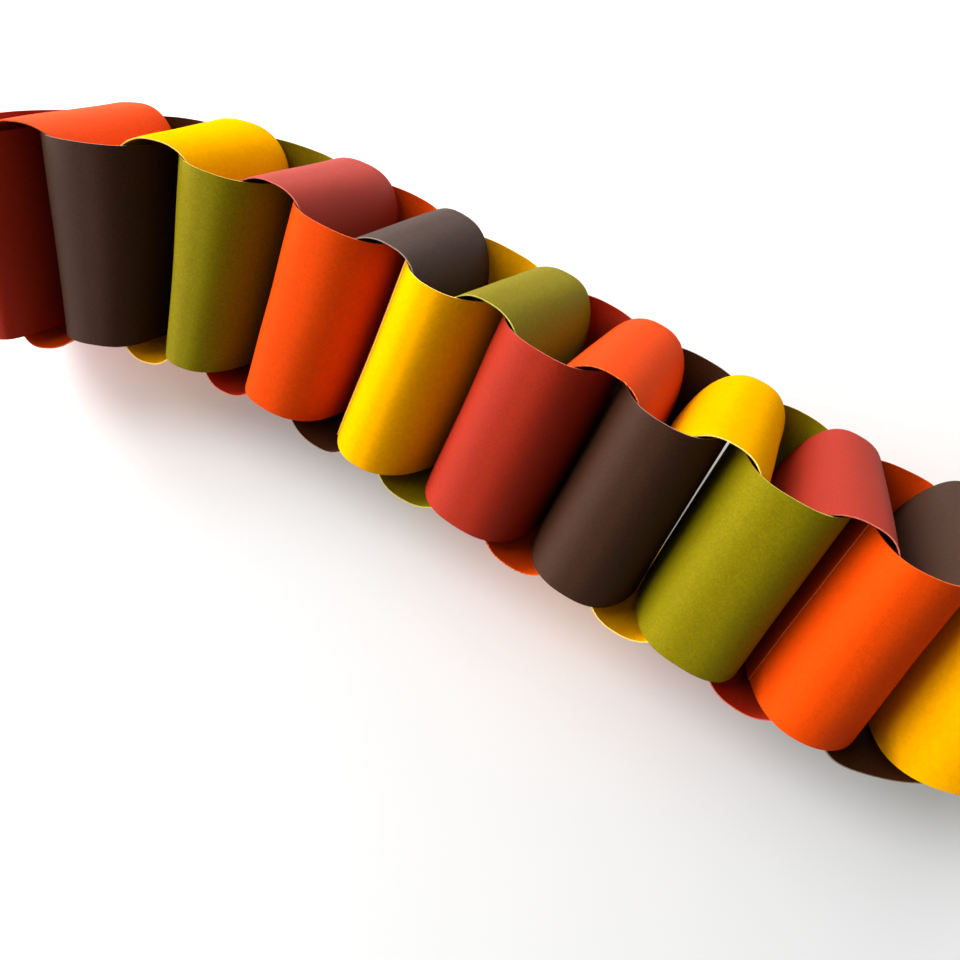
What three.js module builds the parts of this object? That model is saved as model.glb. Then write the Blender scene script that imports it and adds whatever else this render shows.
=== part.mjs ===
// Paper chain garland: strips of coloured card, each closed into a glued loop through the loop
// before it, lying on a flat surface. Every second loop is turned a quarter about the chain's
// line, and the chain lies half-way over, so that both sorts of loop touch the surface with one
// long edge of their strips. X runs along the chain, Y across it and Z up.
import * as THREE from "three";

// Driving dimensions, in millimetres and degrees.
const STRIP_WIDTH = 50;
const CARD_THICKNESS = 0.3;
const LOOP_HALF_WIDTH = 14.25; // along the chain, to the middle of the card
const LOOP_HALF_LENGTH = 28.15; // across the chain, to the middle of the card
const LOOP_FULLNESS = 2.6; // 2 is an ellipse, more is squarer
const FACETS_ROUND_A_LOOP = 40;
const CYCLES = 4; // how often the run of colours repeats
const LINK_SPACING = 15.1; // from one loop's middle to the next one's
const CHAIN_ROLL = 45; // how far the chain lies over

// The chain lies straight in the middle and swings round towards both ends. Each bend is the
// angle that the line turns by and the steps along the chain where it starts and ends.
const LEFT_BEND = { turn: 34, outer: -1, inner: 7 };
const RIGHT_BEND = { turn: 32, outer: 19, inner: 15 };

// Where the cards lean along the chain and where they slant, with their upper edges ahead of
// their lower ones, in degrees, and how many steps a lean or a slant fades over.
const LEANS = [
  { step: 1, angle: -12 },
  { step: 7, angle: 4 },
  { step: 9, angle: -4 },
  { step: 15, angle: 6 },
  { step: 17, angle: -4 },
];
const SLANTS = [{ step: 17, angle: 7 }];
const SWAY_REACH = 1.5;

const CARD_COLOURS = [
  { name: "red", colour: 0xa43629 },
  { name: "orange", colour: 0xf2561a },
  { name: "brown", colour: 0x54463b },
  { name: "yellow", colour: 0xfdb70d },
  { name: "green", colour: 0x96901f },
];

const LINK_COUNT = CYCLES * CARD_COLOURS.length;
const CARD_ROUGHNESS = 0.9;
const QUARTER_TURN = Math.PI / 2;

// The lap, where the strip's end is glued over its start, is the one facet in the middle of a
// flank. The card climbs over its own start in the facet before it.
const LAP_FIRST = FACETS_ROUND_A_LOOP / 2 - 1;
const LAP_LAST = LAP_FIRST + 1;

const radians = THREE.MathUtils.degToRad;
const smoothstep = THREE.MathUtils.smoothstep;

// A point on a loop, this far outside the middle line of the card. A corner lies half a facet
// to each side of the crowns and the middles of the flanks, so that these are flat.
function loopPoint(corner, outwards) {
  const angle = ((corner + 0.5) / FACETS_ROUND_A_LOOP) * 2 * Math.PI;
  const along = Math.cos(angle);
  const across = Math.sin(angle);
  const power = 2 / LOOP_FULLNESS;
  const x = LOOP_HALF_WIDTH * Math.sign(along) * Math.abs(along) ** power;
  const y = LOOP_HALF_LENGTH * Math.sign(across) * Math.abs(across) ** power;
  const normal = new THREE.Vector2(
    (Math.sign(x) * Math.abs(x / LOOP_HALF_WIDTH) ** (LOOP_FULLNESS - 1)) / LOOP_HALF_WIDTH,
    (Math.sign(y) * Math.abs(y / LOOP_HALF_LENGTH) ** (LOOP_FULLNESS - 1)) / LOOP_HALF_LENGTH,
  ).normalize();
  return new THREE.Vector2(x, y).addScaledVector(normal, outwards);
}

// The section of one closed strip: the card's outer face as the outline and its inner face as
// the hole, with the step at each cut end of the lap.
function loopSection() {
  const outer = [];
  const inner = [];
  for (let corner = 0; corner < FACETS_ROUND_A_LOOP; corner += 1) {
    const onLap = corner === LAP_FIRST || corner === LAP_LAST;
    const lift = onLap ? CARD_THICKNESS : 0;
    outer.push(loopPoint(corner, CARD_THICKNESS / 2 + lift));
    if (corner === LAP_LAST) outer.push(loopPoint(corner, CARD_THICKNESS / 2));
    if (corner === LAP_FIRST) inner.push(loopPoint(corner, CARD_THICKNESS / 2));
    inner.push(loopPoint(corner, -CARD_THICKNESS / 2));
  }
  const section = new THREE.Shape(outer);
  section.holes.push(new THREE.Path(inner));
  return section;
}

// Splits the inner face's quads, which come last, along the same diagonal as the outer face's,
// so that a twisted card keeps its thickness.
function matchDiagonals(geometry) {
  const position = geometry.getAttribute("position");
  const corner = new THREE.Vector3();
  const copyCorner = (from, to) => {
    corner.fromBufferAttribute(position, from);
    position.setXYZ(to, corner.x, corner.y, corner.z);
  };
  const innerQuads = FACETS_ROUND_A_LOOP + 1;
  for (let quad = 1; quad <= innerQuads; quad += 1) {
    const first = position.count - quad * 6;
    copyCorner(first + 4, first + 2);
    copyCorner(first, first + 3);
  }
}

// One link about its own middle: the strip's width along Z, its flanks to -X and +X.
function linkGeometry() {
  const geometry = new THREE.ExtrudeGeometry(loopSection(), {
    depth: STRIP_WIDTH,
    bevelEnabled: false,
  });
  geometry.translate(0, 0, -STRIP_WIDTH / 2);
  matchDiagonals(geometry);
  return geometry;
}

// Where the chain's line points at a step, in radians from its straight stretch.
function headingAt(step) {
  const left = 1 - smoothstep(step, LEFT_BEND.outer, LEFT_BEND.inner);
  const right = smoothstep(step, RIGHT_BEND.inner, RIGHT_BEND.outer);
  return radians(LEFT_BEND.turn * left + RIGHT_BEND.turn * right);
}

// How far the cards at a step are swayed along the chain, for each millimetre from its line.
function swayAt(step, places) {
  const share = (place) => 1 - smoothstep(Math.abs(step - place), 0, SWAY_REACH);
  return places.reduce((sum, place) => sum + share(place.step) * Math.tan(radians(place.angle)), 0);
}

// A direction across the chain, as it lies in a link that is turned this far about the line.
function acrossAt(roll) {
  return new THREE.Vector3(0, Math.cos(roll), -Math.sin(roll));
}

// A loop as it lies in the chain: at every place along the line its card stands across the
// line as it points there, and leans and slants with the cards beside it. Only X changes, and it
// changes for neighbours alike, so that they keep clear of each other.
function settle(geometry, step, roll) {
  const position = geometry.getAttribute("position");
  const point = new THREE.Vector3();
  const sideways = acrossAt(roll);
  const leaning = acrossAt(roll + radians(CHAIN_ROLL));
  const slanting = acrossAt(roll - radians(CHAIN_ROLL));
  for (let i = 0; i < position.count; i += 1) {
    point.fromBufferAttribute(position, i);
    const here = step + point.x / LINK_SPACING;
    const turn = Math.tan(headingAt(here) - headingAt(step)) * point.dot(sideways);
    const lean = swayAt(here, LEANS) * point.dot(leaning);
    const slant = swayAt(here, SLANTS) * point.dot(slanting);
    position.setX(i, point.x - turn - lean + slant);
  }
  geometry.computeVertexNormals();
}

// The links in order, each in a group that turns it to the chain's line.
function layChain() {
  const chain = new THREE.Group();
  const middle = new THREE.Vector3();
  for (let step = 0; step < LINK_COUNT; step += 1) {
    const card = CARD_COLOURS[step % CARD_COLOURS.length];
    const crosswise = step % 2 === 1;
    const roll = -radians(CHAIN_ROLL) + (crosswise ? QUARTER_TURN : 0);
    const geometry = linkGeometry();
    settle(geometry, step, roll);
    const material = new THREE.MeshStandardMaterial({
      color: card.colour,
      roughness: CARD_ROUGHNESS,
      metalness: 0,
    });
    const link = new THREE.Mesh(geometry, material);
    link.name = `link_${String(step + 1).padStart(2, "0")}_${card.name}`;
    link.rotation.x = roll;
    const place = new THREE.Group();
    place.position.copy(middle);
    place.rotation.z = headingAt(step);
    place.add(link);
    chain.add(place);
    const headingToNext = headingAt(step + 0.5);
    middle.x += LINK_SPACING * Math.cos(headingToNext);
    middle.y += LINK_SPACING * Math.sin(headingToNext);
  }
  return chain;
}

// The origin is the middle of the chain's box, on the surface that it lies on.
const chain = layChain();
const box = new THREE.Box3().setFromObject(chain, true);
chain.position.set(-(box.min.x + box.max.x) / 2, -(box.min.y + box.max.y) / 2, -box.min.z);

const garland = new THREE.Group();
garland.add(chain);

export default garland;
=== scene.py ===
"""A paper chain garland: strips of dyed card, each closed into a glued loop through the last one.

The chain lies half-way over on a pale surface. Each loop is one strip, made by one node tree
that bends a flat strip round, laps its end over its start and lays it along the chain's line.
"""
import logging
import math
from dataclasses import dataclass, field
from enum import Enum

import bpy
from mathutils import Euler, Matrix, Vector


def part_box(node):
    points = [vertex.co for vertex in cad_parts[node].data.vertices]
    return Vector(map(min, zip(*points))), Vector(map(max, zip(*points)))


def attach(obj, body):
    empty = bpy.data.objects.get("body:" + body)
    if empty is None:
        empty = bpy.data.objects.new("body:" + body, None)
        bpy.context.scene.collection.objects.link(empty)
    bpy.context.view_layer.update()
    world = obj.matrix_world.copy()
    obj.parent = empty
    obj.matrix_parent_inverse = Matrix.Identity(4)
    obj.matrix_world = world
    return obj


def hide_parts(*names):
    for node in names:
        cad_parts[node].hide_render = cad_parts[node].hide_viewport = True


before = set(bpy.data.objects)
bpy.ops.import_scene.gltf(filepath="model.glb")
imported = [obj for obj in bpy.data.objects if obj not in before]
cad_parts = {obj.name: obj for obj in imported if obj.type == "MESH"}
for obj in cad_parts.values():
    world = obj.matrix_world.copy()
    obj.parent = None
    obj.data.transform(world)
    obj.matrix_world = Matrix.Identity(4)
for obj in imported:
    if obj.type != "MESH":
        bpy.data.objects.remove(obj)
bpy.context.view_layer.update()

MM = 0.001
FULL_TURN = 2 * math.pi

log = logging.getLogger("paper_chain")


def linear(hex_colour: str) -> tuple[float, float, float, float]:
    """Turns an sRGB hex colour into the linear values that shaders take.

    Args:
        hex_colour: Six hex digits, such as "a43629".

    Returns:
        Linear red, green, blue and an alpha of 1.
    """
    channels = []
    for start in (0, 2, 4):
        value = int(hex_colour[start:start + 2], 16) / 255
        channels.append(value / 12.92 if value <= 0.04045 else ((value + 0.055) / 1.055) ** 2.4)
    return (*channels, 1.0)


def add_node(
    tree: bpy.types.NodeTree,
    kind: str,
    inputs: dict[int | str, object] | None = None,
    **settings: object,
) -> bpy.types.Node:
    """Adds a node with its settings and links.

    Args:
        tree: The tree that the node goes into.
        kind: The node's type name.
        inputs: A socket to link from, or a plain value, for each input by name or number.
        **settings: The node's own properties, set before its inputs.

    Returns:
        The new node.
    """
    node = tree.nodes.new(kind)
    for name, value in settings.items():
        setattr(node, name, value)
    for key, value in (inputs or {}).items():
        if isinstance(value, bpy.types.NodeSocket):
            tree.links.new(value, node.inputs[key])
        else:
            node.inputs[key].default_value = value
    return node


class CardColour(Enum):
    """The colours of card, in the order that they come round in the chain."""

    RED = "red"
    ORANGE = "orange"
    BROWN = "brown"
    YELLOW = "yellow"
    GREEN = "green"


@dataclass(frozen=True)
class Patch:
    """One scale of unevenness in the dye.

    Attributes:
        size: How far apart the patches lie, in metres.
        share: How much of the colour they add or take.
    """

    size: float
    share: float


@dataclass(frozen=True)
class DyedCardstock:
    """Heavy paper, dyed in the pulp and calendered lightly: matt, with a fine felt tooth.

    Attributes:
        face: The sRGB colour of the card's face.
        cut: The sRGB colour of its cut edge, where torn fibres show paler.
        sizing: How strongly the face's sizing shines at a low angle.
        clumping: How much of the colour the clumps of fibres add or take.
        roughness: How matt the face is.
    """

    face: str
    cut: str
    sizing: float
    clumping: float
    roughness: float = 0.72

    # Fibres are under 0.1 mm across and wouldn't show, so the smallest patches are clumps of them.
    CLUMP_SIZE = 0.32 * MM
    FLOCS = Patch(1.3 * MM, 0.05)
    CLOUDS = Patch(9.0 * MM, 0.02)
    # The part of a noise's range that most of its values lie in.
    NOISE_LOW = 0.3
    NOISE_HIGH = 0.7
    TOOTH_SIZE = 0.3 * MM
    TOOTH_DEPTH = 0.022 * MM
    # How much deeper the tooth is where the blade has torn the fibres.
    TORN_TOOTH = 2
    # How far the roughness strays each way, where the sizing lies thicker or thinner.
    SIZING_SPREAD = 0.08
    CARD_IOR = 1.5

    def dyed(self, tree: bpy.types.NodeTree, colour: str) -> bpy.types.NodeSocket:
        """Adds the uneven dye: the card's colour, a little lighter and darker in patches.

        Args:
            tree: The material's tree.
            colour: The sRGB colour to vary.

        Returns:
            The colour's socket.
        """
        place = add_node(tree, "ShaderNodeTexCoord").outputs["Object"]
        shade = None
        for patch in (Patch(self.CLUMP_SIZE, self.clumping), self.FLOCS, self.CLOUDS):
            noise = add_node(
                tree, "ShaderNodeTexNoise",
                {"Vector": place, "Scale": 1 / patch.size, "Detail": 2.0, "Roughness": 0.6},
            )
            swing = add_node(
                tree, "ShaderNodeMapRange",
                {"Value": noise.outputs["Fac"], "From Min": self.NOISE_LOW,
                 "From Max": self.NOISE_HIGH, "To Min": 1 - patch.share,
                 "To Max": 1 + patch.share},
            ).outputs["Result"]
            shade = swing if shade is None else add_node(
                tree, "ShaderNodeMath", {0: shade, 1: swing}, operation="MULTIPLY",
            ).outputs[0]
        return add_node(
            tree, "ShaderNodeVectorMath",
            {0: linear(colour)[:3], "Scale": shade}, operation="SCALE",
        ).outputs["Vector"]

    def tooth(self, tree: bpy.types.NodeTree, depth: float) -> bpy.types.NodeSocket:
        """Adds the felt's tooth as bump.

        Args:
            tree: The material's tree.
            depth: How deep the tooth is, in metres.

        Returns:
            The bumped normal's socket.
        """
        place = add_node(tree, "ShaderNodeTexCoord").outputs["Object"]
        felt = add_node(
            tree, "ShaderNodeTexNoise",
            {"Vector": place, "Scale": 1 / self.TOOTH_SIZE, "Detail": 3.0, "Roughness": 0.65},
        )
        return add_node(
            tree, "ShaderNodeBump",
            {"Height": felt.outputs["Fac"], "Strength": 1.0, "Distance": depth},
        ).outputs["Normal"]

    def sheen_spread(self, tree: bpy.types.NodeTree) -> bpy.types.NodeSocket:
        """Adds a roughness that differs a little with the sizing.

        Args:
            tree: The material's tree.

        Returns:
            The roughness's socket.
        """
        place = add_node(tree, "ShaderNodeTexCoord").outputs["Object"]
        sizing = add_node(
            tree, "ShaderNodeTexNoise",
            {"Vector": place, "Scale": 1 / self.FLOCS.size, "Detail": 2.0},
        )
        return add_node(
            tree, "ShaderNodeMapRange",
            {"Value": sizing.outputs["Fac"], "To Min": self.roughness - self.SIZING_SPREAD,
             "To Max": self.roughness + self.SIZING_SPREAD},
        ).outputs["Result"]

    def material(self, name: str, cut_edge: bool) -> bpy.types.Material:
        """Makes the card's material.

        Args:
            name: What to call it.
            cut_edge: Whether it is for the thin cut edges instead of the faces.

        Returns:
            The material.
        """
        material = bpy.data.materials.new(name)
        material.use_nodes = True
        tree = material.node_tree
        tree.nodes.clear()
        tooth_depth = self.TOOTH_DEPTH * (self.TORN_TOOTH if cut_edge else 1)
        skin = add_node(
            tree, "ShaderNodeBsdfPrincipled",
            {
                "Base Color": self.dyed(tree, self.cut if cut_edge else self.face),
                "Roughness": self.sheen_spread(tree),
                "IOR": self.CARD_IOR,
                "Specular IOR Level": self.sizing,
                "Normal": self.tooth(tree, tooth_depth),
            },
        )
        add_node(tree, "ShaderNodeOutputMaterial", {"Surface": skin.outputs["BSDF"]})
        return material


CARDSTOCK = {
    # Brick red, sized more than the other bright cards: its crowns turn pink in grazing light.
    CardColour.RED: DyedCardstock(face="941d00", cut="c46351", sizing=0.165, clumping=0.22),
    # Strong orange with hardly any sizing: it stays saturated from every side.
    CardColour.ORANGE: DyedCardstock(face="cb3d00", cut="d9622f", sizing=0.035, clumping=0.12),
    # Dark brown, sized and clumped the most: a grey bloom over a flecked grain.
    CardColour.BROWN: DyedCardstock(face="321500", cut="8b7767", sizing=0.2, clumping=0.45),
    # Warm yellow without sizing, dyed evenly: it looks smooth and has no bloom.
    CardColour.YELLOW: DyedCardstock(face="e39b00", cut="fdd36a", sizing=0.0, clumping=0.07),
    # Olive green, sized thinly: dull, with a clear speckle of fibre clumps.
    CardColour.GREEN: DyedCardstock(face="756900", cut="b5ae4c", sizing=0.05, clumping=0.24),
}


@dataclass(frozen=True)
class Bend:
    """A stretch where the chain's line swings round.

    Attributes:
        turn: How far it turns, in radians.
        outer: The step where the swing is whole.
        inner: The step where it is nothing.
    """

    turn: float
    outer: float
    inner: float


@dataclass(frozen=True)
class ChainLine:
    """The line that the loops lie along, as the frame has it.

    Attributes:
        spacing: From one loop's middle to the next one's, in metres.
        bends: The bends towards the two ends.
        leans: The steps where the cards lean along the chain, each with its angle in radians.
        slants: The steps where the cards' upper edges run ahead of their lower ones, alike.
        sway_reach: How many steps a lean or a slant fades over.
        roll: How far the chain lies over, in radians.
        anchor_node: The frame's node whose box is centred on its loop's middle.
        anchor_step: That node's step.
    """

    spacing: float = 15.1 * MM
    bends: tuple[Bend, ...] = (
        Bend(math.radians(34), outer=-1, inner=7),
        Bend(math.radians(32), outer=19, inner=15),
    )
    leans: tuple[tuple[float, float], ...] = (
        (1, math.radians(-12)),
        (7, math.radians(4)),
        (9, math.radians(-4)),
        (15, math.radians(6)),
        (17, math.radians(-4)),
    )
    slants: tuple[tuple[float, float], ...] = ((17, math.radians(7)),)
    sway_reach: float = 1.5
    roll: float = math.radians(45)
    anchor_node: str = "link_13_brown"
    anchor_step: int = 12

    def heading_at(self, step: float) -> float:
        """Tells where the line points at a step.

        Args:
            step: The place along the chain.

        Returns:
            The angle from the straight stretch, in radians.
        """
        heading = 0.0
        for bend in self.bends:
            share = min(max((step - bend.inner) / (bend.outer - bend.inner), 0.0), 1.0)
            heading += bend.turn * share * share * (3 - 2 * share)
        return heading

    def middle_of(self, step: int) -> Vector:
        """Tells where a loop's middle is.

        Args:
            step: The loop's step along the chain.

        Returns:
            Its middle, in metres.
        """
        middle = centre_of(self.anchor_node)
        way = 1 if step > self.anchor_step else -1
        for passed in range(self.anchor_step, step, way):
            heading = self.heading_at(passed + way / 2)
            middle += Vector((math.cos(heading), math.sin(heading), 0)) * self.spacing * way
        return middle

    def roll_of(self, step: int) -> float:
        """Every second loop is turned a quarter about the line."""
        return self.roll if step % 2 else -self.roll


def centre_of(node: str) -> Vector:
    """Tells where the middle of a node's box is.

    Args:
        node: The frame's node.

    Returns:
        The middle, in metres.
    """
    low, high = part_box(node)
    return (Vector(low) + Vector(high)) / 2


@dataclass(frozen=True)
class LoopHabit:
    """What sets one loop apart from the rest.

    Attributes:
        lap_end: Where round the loop the strip's outer end lies, in radians.
        raggedness: How far its cut edges wander, in metres.
        overhang: How much further its upper cut edge stands than its width says, in metres.
        fullness: How square the loop is, where 2 is an ellipse.
        wider: How much wider than the rest it is each way along the chain, in metres.
        flare: How much wider still it is each way at its lower edge, and narrower at its upper
            one, in metres.
    """

    lap_end: float = math.radians(200)
    raggedness: float = 0.06 * MM
    overhang: float = 0.5 * MM
    fullness: float = 2.5
    wider: float = 0.0
    flare: float = 0.0


@dataclass
class StripLoop:
    """One strip of card, bent round and glued to itself.

    Attributes:
        line: The line that the loop lies along.
        width: The strip's width, in metres.
        thickness: The card's thickness, in metres.
        half_width: Half the loop's size along the chain.
        half_length: Half the loop's size across the chain.
        lap: How far the strip's end lies over its start, in radians round the loop.
        climb: How far before the lap the card starts to climb, in radians.
        glue: The thickness of the dried glue in the lap.
        warp: How far damp has drawn the cards out of true.
        warp_size: How long a wave of that warp is.
        cuts_along: How many cross-sections the mesh has along the strip.
        cuts_across: How many lines of points it has across the strip.
    """

    line: ChainLine
    width: float = 50 * MM
    thickness: float = 0.3 * MM
    half_width: float = 14.25 * MM
    half_length: float = 28.3 * MM
    lap: float = math.radians(21)
    climb: float = math.radians(8)
    glue: float = 0.03 * MM
    warp: float = 0.5 * MM
    warp_size: float = 45 * MM
    cuts_along: int = 420
    cuts_across: int = 13
    tree: bpy.types.NodeTree = field(init=False)
    sockets: dict[str, str] = field(init=False, default_factory=dict)

    EDGE_NICK_SIZE = 0.9 * MM
    # How far apart in the noise the strip's two edges lie, and one loop and the next.
    EDGES_APART = 5.0
    LOOPS_APART = 1.7
    # The power that the nicks fade by away from the edges. It is odd, so that what stands out at
    # one edge stands out at the other too.
    NICK_FADE = 9.0
    # Most of a noise's values lie within a quarter of its middle, so 4 draws the cards by up to
    # about the whole warp along X, and 2 by up to about half of it along Y.
    WARP_STRETCH = (4, 2)

    def __post_init__(self) -> None:
        """Builds the node tree once, for all the loops."""
        self.tree = self.build_tree()
        for item in self.tree.interface.items_tree:
            if item.in_out == "INPUT":
                self.sockets[item.name] = item.identifier

    def open_tree(self) -> tuple[bpy.types.NodeTree, dict[str, bpy.types.NodeSocket]]:
        """Opens the tree with its named inputs.

        Returns:
            The tree, and its inputs by name.
        """
        tree = bpy.data.node_groups.new("strip loop", "GeometryNodeTree")
        tree.interface.new_socket("Geometry", in_out="OUTPUT", socket_type="NodeSocketGeometry")
        kinds = {
            "Step": "NodeSocketFloat",
            "Strip width": "NodeSocketFloat",
            "Card thickness": "NodeSocketFloat",
            "Half sizes": "NodeSocketVector",
            "Flare": "NodeSocketFloat",
            "Fullness": "NodeSocketFloat",
            "Lap end": "NodeSocketFloat",
            "Lap": "NodeSocketFloat",
            "Raggedness": "NodeSocketFloat",
            "Overhang": "NodeSocketFloat",
            "Roll": "NodeSocketFloat",
            "Heading": "NodeSocketFloat",
            "Middle": "NodeSocketVector",
            "Seed": "NodeSocketFloat",
            "Face card": "NodeSocketMaterial",
            "Cut card": "NodeSocketMaterial",
        }
        for name, kind in kinds.items():
            tree.interface.new_socket(name, in_out="INPUT", socket_type=kind)
        given = add_node(tree, "NodeGroupInput")
        return tree, {name: given.outputs[name] for name in kinds}

    def build_tree(self) -> bpy.types.NodeTree:
        """Builds the tree: a flat strip, bent, lapped, laid along the line and dressed.

        Returns:
            The finished tree.
        """
        tree, given = self.open_tree()
        flat = add_node(
            tree, "GeometryNodeMeshCube",
            {"Size": (1, 1, 1), "Vertices X": self.cuts_along, "Vertices Y": 2,
             "Vertices Z": self.cuts_across},
        )
        facing = add_node(
            tree, "ShaderNodeSeparateXYZ", {0: add_node(tree, "GeometryNodeInputNormal").outputs[0]},
        )
        depthwise = add_node(
            tree, "ShaderNodeMath", {0: facing.outputs["Y"]}, operation="ABSOLUTE",
        )
        on_edge = add_node(
            tree, "FunctionNodeCompare", {0: depthwise.outputs[0], 1: 0.5},
            data_type="FLOAT", operation="LESS_THAN",
        )
        marked = add_node(
            tree, "GeometryNodeStoreNamedAttribute",
            {"Geometry": flat.outputs["Mesh"], "Name": "cut_edge", "Value": on_edge.outputs[0]},
            data_type="BOOLEAN", domain="FACE",
        )
        bent = self.bend(tree, given)
        laid = self.lay(tree, given, bent)
        shaped = add_node(
            tree, "GeometryNodeSetPosition",
            {"Geometry": marked.outputs["Geometry"], "Position": laid},
        )
        warped = add_node(
            tree, "GeometryNodeSetPosition",
            {"Geometry": shaped.outputs["Geometry"], "Offset": self.damp_warp(tree)},
        )
        self.dress(tree, given, warped.outputs["Geometry"])
        return tree

    def bend(
        self, tree: bpy.types.NodeTree, given: dict[str, bpy.types.NodeSocket],
    ) -> bpy.types.NodeSocket:
        """Bends the flat strip round into its loop and laps it.

        Args:
            tree: The tree to add to.
            given: The tree's inputs.

        Returns:
            Each point's place about the loop's own middle.
        """
        strip = add_node(
            tree, "ShaderNodeSeparateXYZ",
            {0: add_node(tree, "GeometryNodeInputPosition").outputs[0]},
        )
        length = add_node(
            tree, "ShaderNodeMath", {0: given["Lap"], 1: FULL_TURN}, operation="ADD",
        )
        to_end = add_node(
            tree, "ShaderNodeMath",
            {0: strip.outputs["X"], 1: 0.5}, operation="SUBTRACT",
        )
        angle = add_node(
            tree, "ShaderNodeMath",
            {0: to_end.outputs[0], 1: length.outputs[0], 2: given["Lap end"]},
            operation="MULTIPLY_ADD",
        ).outputs[0]
        before_end = add_node(
            tree, "ShaderNodeMath", {0: to_end.outputs[0], 1: length.outputs[0]},
            operation="MULTIPLY",
        ).outputs[0]
        turned_along = add_node(
            tree, "ShaderNodeMath", {0: angle}, operation="COSINE",
        ).outputs[0]
        turned_across = add_node(
            tree, "ShaderNodeMath", {0: angle}, operation="SINE",
        ).outputs[0]
        turned = add_node(
            tree, "ShaderNodeCombineXYZ", {"X": turned_along, "Y": turned_across},
        ).outputs[0]
        middle, outwards = self.full_oval(tree, given, turned)

        # The strip's end climbs over its start just before the lap.
        lap_start = add_node(
            tree, "ShaderNodeMath", {0: given["Lap"], 1: -1.0}, operation="MULTIPLY",
        )
        climb_start = add_node(
            tree, "ShaderNodeMath", {0: lap_start.outputs[0], 1: self.climb},
            operation="SUBTRACT",
        )
        over = add_node(
            tree, "ShaderNodeMath", {0: given["Card thickness"], 1: self.glue}, operation="ADD",
        )
        lift = add_node(
            tree, "ShaderNodeMapRange",
            {"Value": before_end, "From Min": climb_start.outputs[0],
             "From Max": lap_start.outputs[0], "To Min": 0.0, "To Max": over.outputs[0]},
            interpolation_type="SMOOTHSTEP",
        )
        depth = add_node(
            tree, "ShaderNodeMath",
            {0: strip.outputs["Y"], 1: given["Card thickness"]}, operation="MULTIPLY",
        )
        height = add_node(
            tree, "ShaderNodeMath",
            {0: lift.outputs["Result"], 1: depth.outputs[0]}, operation="SUBTRACT",
        )
        raised = add_node(
            tree, "ShaderNodeVectorMath", {0: outwards, "Scale": height.outputs[0]},
            operation="SCALE",
        )
        section = add_node(
            tree, "ShaderNodeVectorMath", {0: middle, 1: raised.outputs["Vector"]},
            operation="ADD",
        )
        across = add_node(
            tree, "ShaderNodeCombineXYZ", {"Z": self.cut_to_width(tree, given, strip, angle)},
        )
        straight = add_node(
            tree, "ShaderNodeVectorMath",
            {0: section.outputs["Vector"], 1: across.outputs[0]}, operation="ADD",
        ).outputs["Vector"]

        # A loop glued a little askew is wider at one edge of the strip than at the other.
        sideways = add_node(
            tree, "ShaderNodeMath", {0: turned_along, 1: strip.outputs["Z"]}, operation="MULTIPLY",
        ).outputs[0]
        flared = add_node(
            tree, "ShaderNodeMath", {0: sideways, 1: given["Flare"]}, operation="MULTIPLY",
        ).outputs[0]
        spread = add_node(
            tree, "ShaderNodeMath", {0: flared, 1: -2.0}, operation="MULTIPLY",
        ).outputs[0]
        return add_node(
            tree, "ShaderNodeVectorMath",
            {0: straight, 1: add_node(tree, "ShaderNodeCombineXYZ", {"X": spread}).outputs[0]},
            operation="ADD",
        ).outputs["Vector"]

    def full_oval(
        self,
        tree: bpy.types.NodeTree,
        given: dict[str, bpy.types.NodeSocket],
        turned: bpy.types.NodeSocket,
    ) -> tuple[bpy.types.NodeSocket, bpy.types.NodeSocket]:
        """Works out the loop's oval: long and full, with round crowns.

        Args:
            tree: The tree to add to.
            given: The tree's inputs.
            turned: The direction round the loop.

        Returns:
            The point on the card's middle line, and the direction outwards there.
        """
        size = add_node(
            tree, "ShaderNodeVectorMath", {0: turned}, operation="ABSOLUTE",
        ).outputs["Vector"]
        power = add_node(
            tree, "ShaderNodeCombineXYZ",
            {"X": given["Fullness"], "Y": given["Fullness"], "Z": 1.0},
        ).outputs[0]
        raised = add_node(
            tree, "ShaderNodeVectorMath", {0: size, 1: power}, operation="POWER",
        ).outputs["Vector"]
        total = add_node(
            tree, "ShaderNodeVectorMath", {0: raised, 1: (1, 1, 0)}, operation="DOT_PRODUCT",
        ).outputs["Value"]
        inverse = add_node(
            tree, "ShaderNodeMath", {0: -1.0, 1: given["Fullness"]}, operation="DIVIDE",
        ).outputs[0]
        reach = add_node(
            tree, "ShaderNodeMath", {0: total, 1: inverse}, operation="POWER",
        ).outputs[0]
        unit = add_node(
            tree, "ShaderNodeVectorMath", {0: turned, "Scale": reach}, operation="SCALE",
        ).outputs["Vector"]
        middle = add_node(
            tree, "ShaderNodeVectorMath", {0: unit, 1: given["Half sizes"]}, operation="MULTIPLY",
        ).outputs["Vector"]
        less_one = add_node(
            tree, "ShaderNodeVectorMath", {0: power, 1: (1, 1, 0)}, operation="SUBTRACT",
        ).outputs["Vector"]
        slope = add_node(
            tree, "ShaderNodeVectorMath", {0: size, 1: less_one}, operation="POWER",
        ).outputs["Vector"]
        signs = add_node(
            tree, "ShaderNodeVectorMath", {0: turned}, operation="SIGN",
        ).outputs["Vector"]
        signed = add_node(
            tree, "ShaderNodeVectorMath", {0: slope, 1: signs}, operation="MULTIPLY",
        ).outputs["Vector"]
        steep = add_node(
            tree, "ShaderNodeVectorMath", {0: signed, 1: given["Half sizes"]},
            operation="DIVIDE",
        ).outputs["Vector"]
        outwards = add_node(
            tree, "ShaderNodeVectorMath", {0: steep}, operation="NORMALIZE",
        ).outputs["Vector"]
        return middle, outwards

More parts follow.
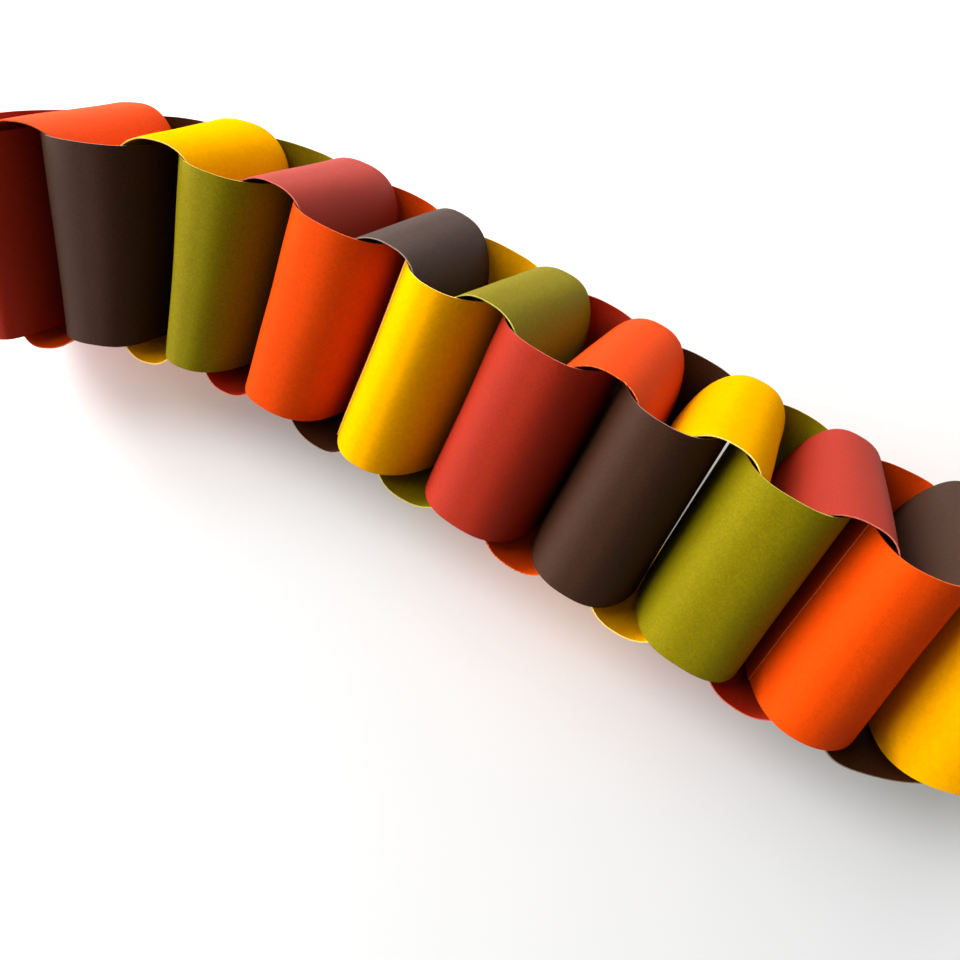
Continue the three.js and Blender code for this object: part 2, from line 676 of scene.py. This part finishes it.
    def cut_to_width(
        self,
        tree: bpy.types.NodeTree,
        given: dict[str, bpy.types.NodeSocket],
        strip: bpy.types.Node,
        angle: bpy.types.NodeSocket,
    ) -> bpy.types.NodeSocket:
        """Works out where a point lies across the strip, whose cut edges wander a little.

        Args:
            tree: The tree to add to.
            given: The tree's inputs.
            strip: The node that holds the flat strip's coordinates.
            angle: The angle round the loop.

        Returns:
            The distance from the strip's middle line.
        """
        side = add_node(
            tree, "ShaderNodeMath", {0: strip.outputs["Z"]}, operation="SIGN",
        ).outputs[0]
        apart = add_node(
            tree, "ShaderNodeMath", {0: side, 1: self.EDGES_APART, 2: given["Seed"]},
            operation="MULTIPLY_ADD",
        ).outputs[0]
        along = add_node(
            tree, "ShaderNodeMath", {0: angle, 1: self.half_length}, operation="MULTIPLY",
        ).outputs[0]
        nicks = add_node(
            tree, "ShaderNodeTexNoise",
            {"W": apart, "Scale": 1 / self.EDGE_NICK_SIZE, "Detail": 3.0, "Roughness": 0.6,
             "Vector": add_node(tree, "ShaderNodeCombineXYZ", {"X": along}).outputs[0]},
            noise_dimensions="4D",
        )
        swing = add_node(
            tree, "ShaderNodeMath", {0: nicks.outputs["Fac"], 1: 0.5}, operation="SUBTRACT",
        ).outputs[0]
        nick = add_node(
            tree, "ShaderNodeMath", {0: swing, 1: given["Raggedness"]}, operation="MULTIPLY",
        ).outputs[0]

        # From -1 at the lower edge to 1 at the upper one.
        reach = add_node(
            tree, "ShaderNodeMath", {0: strip.outputs["Z"], 1: 2.0}, operation="MULTIPLY",
        ).outputs[0]
        near_edge = add_node(
            tree, "ShaderNodeMath", {0: reach, 1: self.NICK_FADE}, operation="POWER",
        ).outputs[0]
        nicked = add_node(
            tree, "ShaderNodeMath", {0: nick, 1: near_edge}, operation="MULTIPLY",
        ).outputs[0]
        upper = add_node(
            tree, "ShaderNodeMath", {0: reach, 1: 0.0}, operation="MAXIMUM",
        ).outputs[0]
        edge = add_node(
            tree, "ShaderNodeMath", {0: upper, 1: given["Overhang"], 2: nicked},
            operation="MULTIPLY_ADD",
        ).outputs[0]
        return add_node(
            tree, "ShaderNodeMath",
            {0: strip.outputs["Z"], 1: given["Strip width"], 2: edge},
            operation="MULTIPLY_ADD",
        ).outputs[0]

    def lay(
        self,
        tree: bpy.types.NodeTree,
        given: dict[str, bpy.types.NodeSocket],
        bent: bpy.types.NodeSocket,
    ) -> bpy.types.NodeSocket:
        """Turns the loop about the line, lets it follow the bends and sways, and places it.

        Args:
            tree: The tree to add to.
            given: The tree's inputs.
            bent: Each point's place about the loop's middle.

        Returns:
            Each point's place in the frame.
        """
        rolled = add_node(
            tree, "ShaderNodeVectorRotate", {"Vector": bent, "Angle": given["Roll"]},
            rotation_type="X_AXIS",
        ).outputs[0]
        parts = add_node(tree, "ShaderNodeSeparateXYZ", {0: rolled})
        here = add_node(
            tree, "ShaderNodeMath",
            {0: parts.outputs["X"], 1: 1 / self.line.spacing, 2: given["Step"]},
            operation="MULTIPLY_ADD",
        ).outputs[0]

        heading = None
        for bend in self.line.bends:
            low, high = sorted((bend.outer, bend.inner))
            ends = (bend.turn, 0.0) if bend.outer < bend.inner else (0.0, bend.turn)
            share = add_node(
                tree, "ShaderNodeMapRange",
                {"Value": here, "From Min": low, "From Max": high, "To Min": ends[0],
                 "To Max": ends[1]},
                interpolation_type="SMOOTHSTEP",
            ).outputs["Result"]
            heading = share if heading is None else add_node(
                tree, "ShaderNodeMath", {0: heading, 1: share}, operation="ADD",
            ).outputs[0]
        beyond = add_node(
            tree, "ShaderNodeMath", {0: heading, 1: given["Heading"]}, operation="SUBTRACT",
        ).outputs[0]
        turn = add_node(tree, "ShaderNodeMath", {0: beyond}, operation="TANGENT").outputs[0]
        turn_shift = add_node(
            tree, "ShaderNodeMath", {0: turn, 1: parts.outputs["Y"]}, operation="MULTIPLY",
        ).outputs[0]

        roll = self.line.roll
        leaning = (0.0, math.cos(roll), -math.sin(roll))
        slanting = (0.0, math.sin(roll), math.cos(roll))
        lean_shift = self.sway(tree, rolled, here, self.line.leans, leaning)
        slant_shift = self.sway(tree, rolled, here, self.line.slants, slanting)
        sway_shift = add_node(
            tree, "ShaderNodeMath", {0: lean_shift, 1: slant_shift}, operation="SUBTRACT",
        ).outputs[0]
        shift = add_node(
            tree, "ShaderNodeMath", {0: turn_shift, 1: sway_shift}, operation="ADD",
        ).outputs[0]
        back = add_node(tree, "ShaderNodeCombineXYZ", {"X": shift}).outputs[0]
        settled = add_node(
            tree, "ShaderNodeVectorMath", {0: rolled, 1: back}, operation="SUBTRACT",
        ).outputs["Vector"]
        headed = add_node(
            tree, "ShaderNodeVectorRotate", {"Vector": settled, "Angle": given["Heading"]},
            rotation_type="Z_AXIS",
        ).outputs[0]
        return add_node(
            tree, "ShaderNodeVectorMath", {0: headed, 1: given["Middle"]}, operation="ADD",
        ).outputs["Vector"]

    def sway(
        self,
        tree: bpy.types.NodeTree,
        rolled: bpy.types.NodeSocket,
        here: bpy.types.NodeSocket,
        places: tuple[tuple[float, float], ...],
        way: tuple[float, float, float],
    ) -> bpy.types.NodeSocket:
        """Works out how far the cards are swayed along the chain.

        Args:
            tree: The tree to add to.
            rolled: Each point's place about the loop's middle, as it lies in the chain.
            here: Each point's step along the chain.
            places: The steps where the cards are swayed, each with its angle in radians.
            way: The direction from the line that the sway grows in.

        Returns:
            The distance along the chain.
        """
        total = None
        for place, angle in places:
            off = add_node(
                tree, "ShaderNodeMath", {0: here, 1: float(place)}, operation="SUBTRACT",
            ).outputs[0]
            away = add_node(tree, "ShaderNodeMath", {0: off}, operation="ABSOLUTE").outputs[0]
            share = add_node(
                tree, "ShaderNodeMapRange",
                {"Value": away, "From Min": 0.0, "From Max": self.line.sway_reach,
                 "To Min": math.tan(angle), "To Max": 0.0},
                interpolation_type="SMOOTHSTEP",
            ).outputs["Result"]
            total = share if total is None else add_node(
                tree, "ShaderNodeMath", {0: total, 1: share}, operation="ADD",
            ).outputs[0]
        distance = add_node(
            tree, "ShaderNodeVectorMath", {0: rolled, 1: way}, operation="DOT_PRODUCT",
        ).outputs["Value"]
        return add_node(
            tree, "ShaderNodeMath", {0: total, 1: distance}, operation="MULTIPLY",
        ).outputs[0]

    def damp_warp(self, tree: bpy.types.NodeTree) -> bpy.types.NodeSocket:
        """Works out how far damp has drawn the cards, alike for cards that lie together.

        Args:
            tree: The tree to add to.

        Returns:
            The shift, level with the surface that the chain lies on.
        """
        place = add_node(tree, "GeometryNodeInputPosition").outputs[0]
        waves = add_node(
            tree, "ShaderNodeTexNoise",
            {"Vector": place, "Scale": 1 / self.warp_size, "Detail": 1.0},
        )
        centred = add_node(
            tree, "ShaderNodeVectorMath", {0: waves.outputs["Color"], 1: (0.5, 0.5, 0.5)},
            operation="SUBTRACT",
        ).outputs["Vector"]
        along, across = self.WARP_STRETCH
        stretch = (along * self.warp, across * self.warp, 0.0)
        return add_node(
            tree, "ShaderNodeVectorMath", {0: centred, 1: stretch}, operation="MULTIPLY",
        ).outputs["Vector"]

    def dress(
        self,
        tree: bpy.types.NodeTree,
        given: dict[str, bpy.types.NodeSocket],
        shaped: bpy.types.NodeSocket,
    ) -> None:
        """Smooths the faces, gives faces and cut edges their card and ends the tree.

        Args:
            tree: The tree to add to.
            given: The tree's inputs.
            shaped: The shaped strip.
        """
        cut_edge = add_node(
            tree, "GeometryNodeInputNamedAttribute", {"Name": "cut_edge"}, data_type="BOOLEAN",
        ).outputs["Attribute"]
        face = add_node(
            tree, "FunctionNodeBooleanMath", {0: cut_edge}, operation="NOT",
        ).outputs[0]
        crisp = add_node(
            tree, "GeometryNodeSetShadeSmooth",
            {"Geometry": shaped, "Selection": cut_edge, "Shade Smooth": False}, domain="EDGE",
        )
        smooth = add_node(
            tree, "GeometryNodeSetShadeSmooth",
            {"Geometry": crisp.outputs["Geometry"], "Shade Smooth": face}, domain="FACE",
        )
        whole = add_node(
            tree, "GeometryNodeRealizeInstances", {"Geometry": smooth.outputs["Geometry"]},
        )
        faced = add_node(
            tree, "GeometryNodeSetMaterial",
            {"Geometry": whole.outputs["Geometry"], "Material": given["Face card"]},
        )
        edged = add_node(
            tree, "GeometryNodeSetMaterial",
            {"Geometry": faced.outputs["Geometry"], "Selection": cut_edge,
             "Material": given["Cut card"]},
        )
        add_node(tree, "NodeGroupOutput", {"Geometry": edged.outputs["Geometry"]})

    def make(
        self,
        name: str,
        step: int,
        habit: LoopHabit,
        face: bpy.types.Material,
        cut: bpy.types.Material,
    ) -> bpy.types.Object:
        """Makes one loop as a plain mesh.

        Args:
            name: What to call the piece.
            step: Its step along the chain.
            habit: What sets it apart.
            face: The card of its faces.
            cut: The card of its cut edges.

        Returns:
            The loop's object.
        """
        piece = bpy.data.objects.new(name, bpy.data.meshes.new(name))
        bpy.context.scene.collection.objects.link(piece)
        modifier = piece.modifiers.new("strip loop", "NODES")
        modifier.node_group = self.tree
        values = {
            "Step": float(step),
            "Strip width": self.width,
            "Card thickness": self.thickness,
            "Half sizes": (self.half_width + habit.wider, self.half_length, 1.0),
            "Flare": habit.flare,
            "Fullness": habit.fullness,
            "Lap end": habit.lap_end,
            "Lap": self.lap,
            "Raggedness": habit.raggedness,
            "Overhang": habit.overhang,
            "Roll": self.line.roll_of(step),
            "Heading": self.line.heading_at(step),
            "Middle": tuple(self.line.middle_of(step)),
            "Seed": self.LOOPS_APART * step,
            "Face card": face,
            "Cut card": cut,
        }
        for socket, value in values.items():
            modifier[self.sockets[socket]] = value
        bpy.context.view_layer.update()
        evaluated = piece.evaluated_get(bpy.context.evaluated_depsgraph_get())
        mesh = bpy.data.meshes.new_from_object(evaluated)
        mesh.name = name
        # The first slot is empty: it is left from before the strip was given its cards.
        mesh.materials.pop(index=0)
        piece.modifiers.clear()
        piece.data = mesh
        return piece


# A lap beyond the flank's middle from the crown in front, hidden between the loops.
HIDDEN_LAP = math.radians(150)
# Where the bends bring neighbours close, their upper edges stand out less.
SHORT_OVERHANG = 0.3 * MM


@dataclass
class PaperChain:
    """All the loops of the garland.

    Attributes:
        loop: The way that one loop is made.
        cycles: How often the run of colours comes round.
        habits: What sets single loops apart, by step.
    """

    loop: StripLoop
    cycles: int = 4
    habits: dict[int, LoopHabit] = field(default_factory=lambda: {
        1: LoopHabit(overhang=SHORT_OVERHANG),
        2: LoopHabit(overhang=SHORT_OVERHANG),
        8: LoopHabit(lap_end=math.radians(222)),
        10: LoopHabit(wider=0.6 * MM),
        11: LoopHabit(raggedness=1.1 * MM),
        12: LoopHabit(lap_end=HIDDEN_LAP, wider=0.3 * MM, flare=0.3 * MM),
        13: LoopHabit(raggedness=0.5 * MM),
        14: LoopHabit(lap_end=HIDDEN_LAP, wider=0.3 * MM, flare=0.3 * MM),
        15: LoopHabit(lap_end=math.radians(218)),
        16: LoopHabit(lap_end=math.radians(210)),
        17: LoopHabit(overhang=SHORT_OVERHANG),
        18: LoopHabit(lap_end=HIDDEN_LAP, overhang=SHORT_OVERHANG),
    })

    def build(self) -> list[bpy.types.Object]:
        """Makes every loop, in order, and ties it to the frame.

        Returns:
            The loops.
        """
        cards = {}
        for colour, finish in CARDSTOCK.items():
            cards[colour] = (
                finish.material(f"dyed cardstock, {colour.value}", cut_edge=False),
                finish.material(f"cut cardstock, {colour.value}", cut_edge=True),
            )
        colours = list(CardColour)
        loops = []
        for step in range(self.cycles * len(colours)):
            colour = colours[step % len(colours)]
            node = f"link_{step + 1:02d}_{colour.value}"
            habit = self.habits.get(step, LoopHabit())
            piece = self.loop.make(f"{node}_strip", step, habit, *cards[colour])
            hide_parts(node)
            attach(piece, "root")
            log.info("%s: %d faces", piece.name, len(piece.data.polygons))
            loops.append(piece)
        return loops


@dataclass(frozen=True)
class SoftLight:
    """One large soft lamp.

    Attributes:
        name: What to call it.
        azimuth: The way it stands from the garland, in degrees from +X towards +Y.
        elevation: How high it stands, in degrees.
        power: Its power, in watts.
        distance: How far off it is, in metres.
        size: How wide it is, in metres.
        colour: Its sRGB colour.
    """

    name: str
    azimuth: float
    elevation: float
    power: float
    distance: float = 1.0
    size: float = 0.45
    colour: str = "ffffff"

    def hang(self, target: Vector) -> None:
        """Hangs the lamp so that it shines at the garland.

        Args:
            target: Where it shines to.
        """
        lamp = bpy.data.lights.new(self.name, "AREA")
        lamp.shape = "DISK"
        lamp.size = self.size
        lamp.energy = self.power
        lamp.color = linear(self.colour)[:3]
        stand = bpy.data.objects.new(self.name, lamp)
        azimuth, elevation = math.radians(self.azimuth), math.radians(self.elevation)
        way = Vector((
            math.cos(azimuth) * math.cos(elevation),
            math.sin(azimuth) * math.cos(elevation),
            math.sin(elevation),
        ))
        stand.location = target + way * self.distance
        stand.rotation_euler = way.to_track_quat("Z", "Y").to_euler()
        stand.visible_camera = False
        bpy.context.scene.collection.objects.link(stand)


@dataclass(frozen=True)
class MattBoard:
    """Plain white board with a matt coat: bright, even, and without a mirror image.

    Attributes:
        face: Its sRGB colour.
        roughness: How matt the coat is.
        coat: How strongly the coat shines.
    """

    face: str = "eeefef"
    roughness: float = 0.7
    coat: float = 0.3

    def material(self) -> bpy.types.Material:
        """Makes the board's material.

        Returns:
            The material.
        """
        material = bpy.data.materials.new("matt white board")
        material.use_nodes = True
        tree = material.node_tree
        tree.nodes.clear()
        skin = add_node(
            tree, "ShaderNodeBsdfPrincipled",
            {"Base Color": linear(self.face), "Roughness": self.roughness,
             "Specular IOR Level": self.coat},
        )
        add_node(tree, "ShaderNodeOutputMaterial", {"Surface": skin.outputs["BSDF"]})
        return material


@dataclass
class Studio:
    """The pale surface, the soft light and the camera.

    Attributes:
        eye: Where the camera is, from the middle of the loop that it is set by, in metres.
        tilt: How the camera is turned, in degrees.
        lens: Its focal length, in millimetres.
        sensor: How wide its sensor is, in millimetres.
        near: How close to the camera things still show, in metres.
        eye_node: The frame's node that it is set by.
        board: What the surface is made of.
        floor_reach: How far the surface goes each way, in metres.
        lights: The lamps.
        sky: How bright the room is.
    """

    eye: Vector = field(default_factory=lambda: Vector((3.49, -83.76, 221.65)) * MM)
    tilt: tuple[float, float, float] = (17.577, -0.522, 32.578)
    lens: float = 34.62
    sensor: float = 36.0
    near: float = 10 * MM
    eye_node: str = "link_13_brown"
    board: MattBoard = MattBoard()
    floor_reach: float = 4.0
    lights: tuple[SoftLight, ...] = (
        SoftLight("long window, far pane", 190, 5, power=61.7, distance=2.5, size=1.1),
        SoftLight("long window, middle pane", 210, 5, power=35.9, distance=2.5, size=1.1),
        SoftLight("long window, near pane", 230, 5, power=40.0, distance=2.5, size=1.1),
        SoftLight("side window, sill", 130, 5, power=6.3),
        SoftLight("side window, pane", 150, 15, power=4.1),
        SoftLight("side window, upper pane", 170, 30, power=3.4),
        SoftLight("skylight, edge", 190, 30, power=3.2),
        SoftLight("skylight, middle", 190, 55, power=3.5),
        SoftLight("door", 90, 15, power=3.7),
    )
    sky: float = 0.3

    def set_camera(self) -> None:
        """Sets up the camera."""
        lens = bpy.data.cameras.new("camera")
        lens.sensor_width = self.sensor
        lens.lens = self.lens
        lens.clip_start = self.near
        camera = bpy.data.objects.new("camera", lens)
        camera.location = centre_of(self.eye_node) + self.eye
        camera.rotation_euler = Euler([math.radians(angle) for angle in self.tilt], "XYZ")
        bpy.context.scene.collection.objects.link(camera)
        bpy.context.scene.camera = camera

    def lay_floor(self) -> None:
        """Lays the white board that the garland lies on."""
        reach = self.floor_reach
        corners = [(-reach, -reach, 0), (reach, -reach, 0), (reach, reach, 0), (-reach, reach, 0)]
        mesh = bpy.data.meshes.new("white surface")
        mesh.from_pydata(corners, [], [(0, 1, 2, 3)])
        floor = bpy.data.objects.new("white surface", mesh)
        bpy.context.scene.collection.objects.link(floor)
        mesh.materials.append(self.board.material())

    def light(self) -> None:
        """Lights the room and hangs the lamps."""
        world = bpy.data.worlds.new("room")
        world.use_nodes = True
        world.node_tree.nodes["Background"].inputs["Color"].default_value = linear("ffffff")
        world.node_tree.nodes["Background"].inputs["Strength"].default_value = self.sky
        bpy.context.scene.world = world
        target = centre_of(self.eye_node)
        for lamp in self.lights:
            lamp.hang(target)
        bpy.context.scene.view_settings.view_transform = "Standard"
        bpy.context.scene.view_settings.look = "None"


def main() -> None:
    """Builds the garland and the studio."""
    logging.basicConfig(level=logging.INFO, format="%(name)s: %(message)s")
    chain = PaperChain(StripLoop(ChainLine()))
    loops = chain.build()
    log.info("%d loops", len(loops))
    studio = Studio()
    studio.lay_floor()
    studio.light()
    studio.set_camera()


if __name__ == "__main__":
    main()
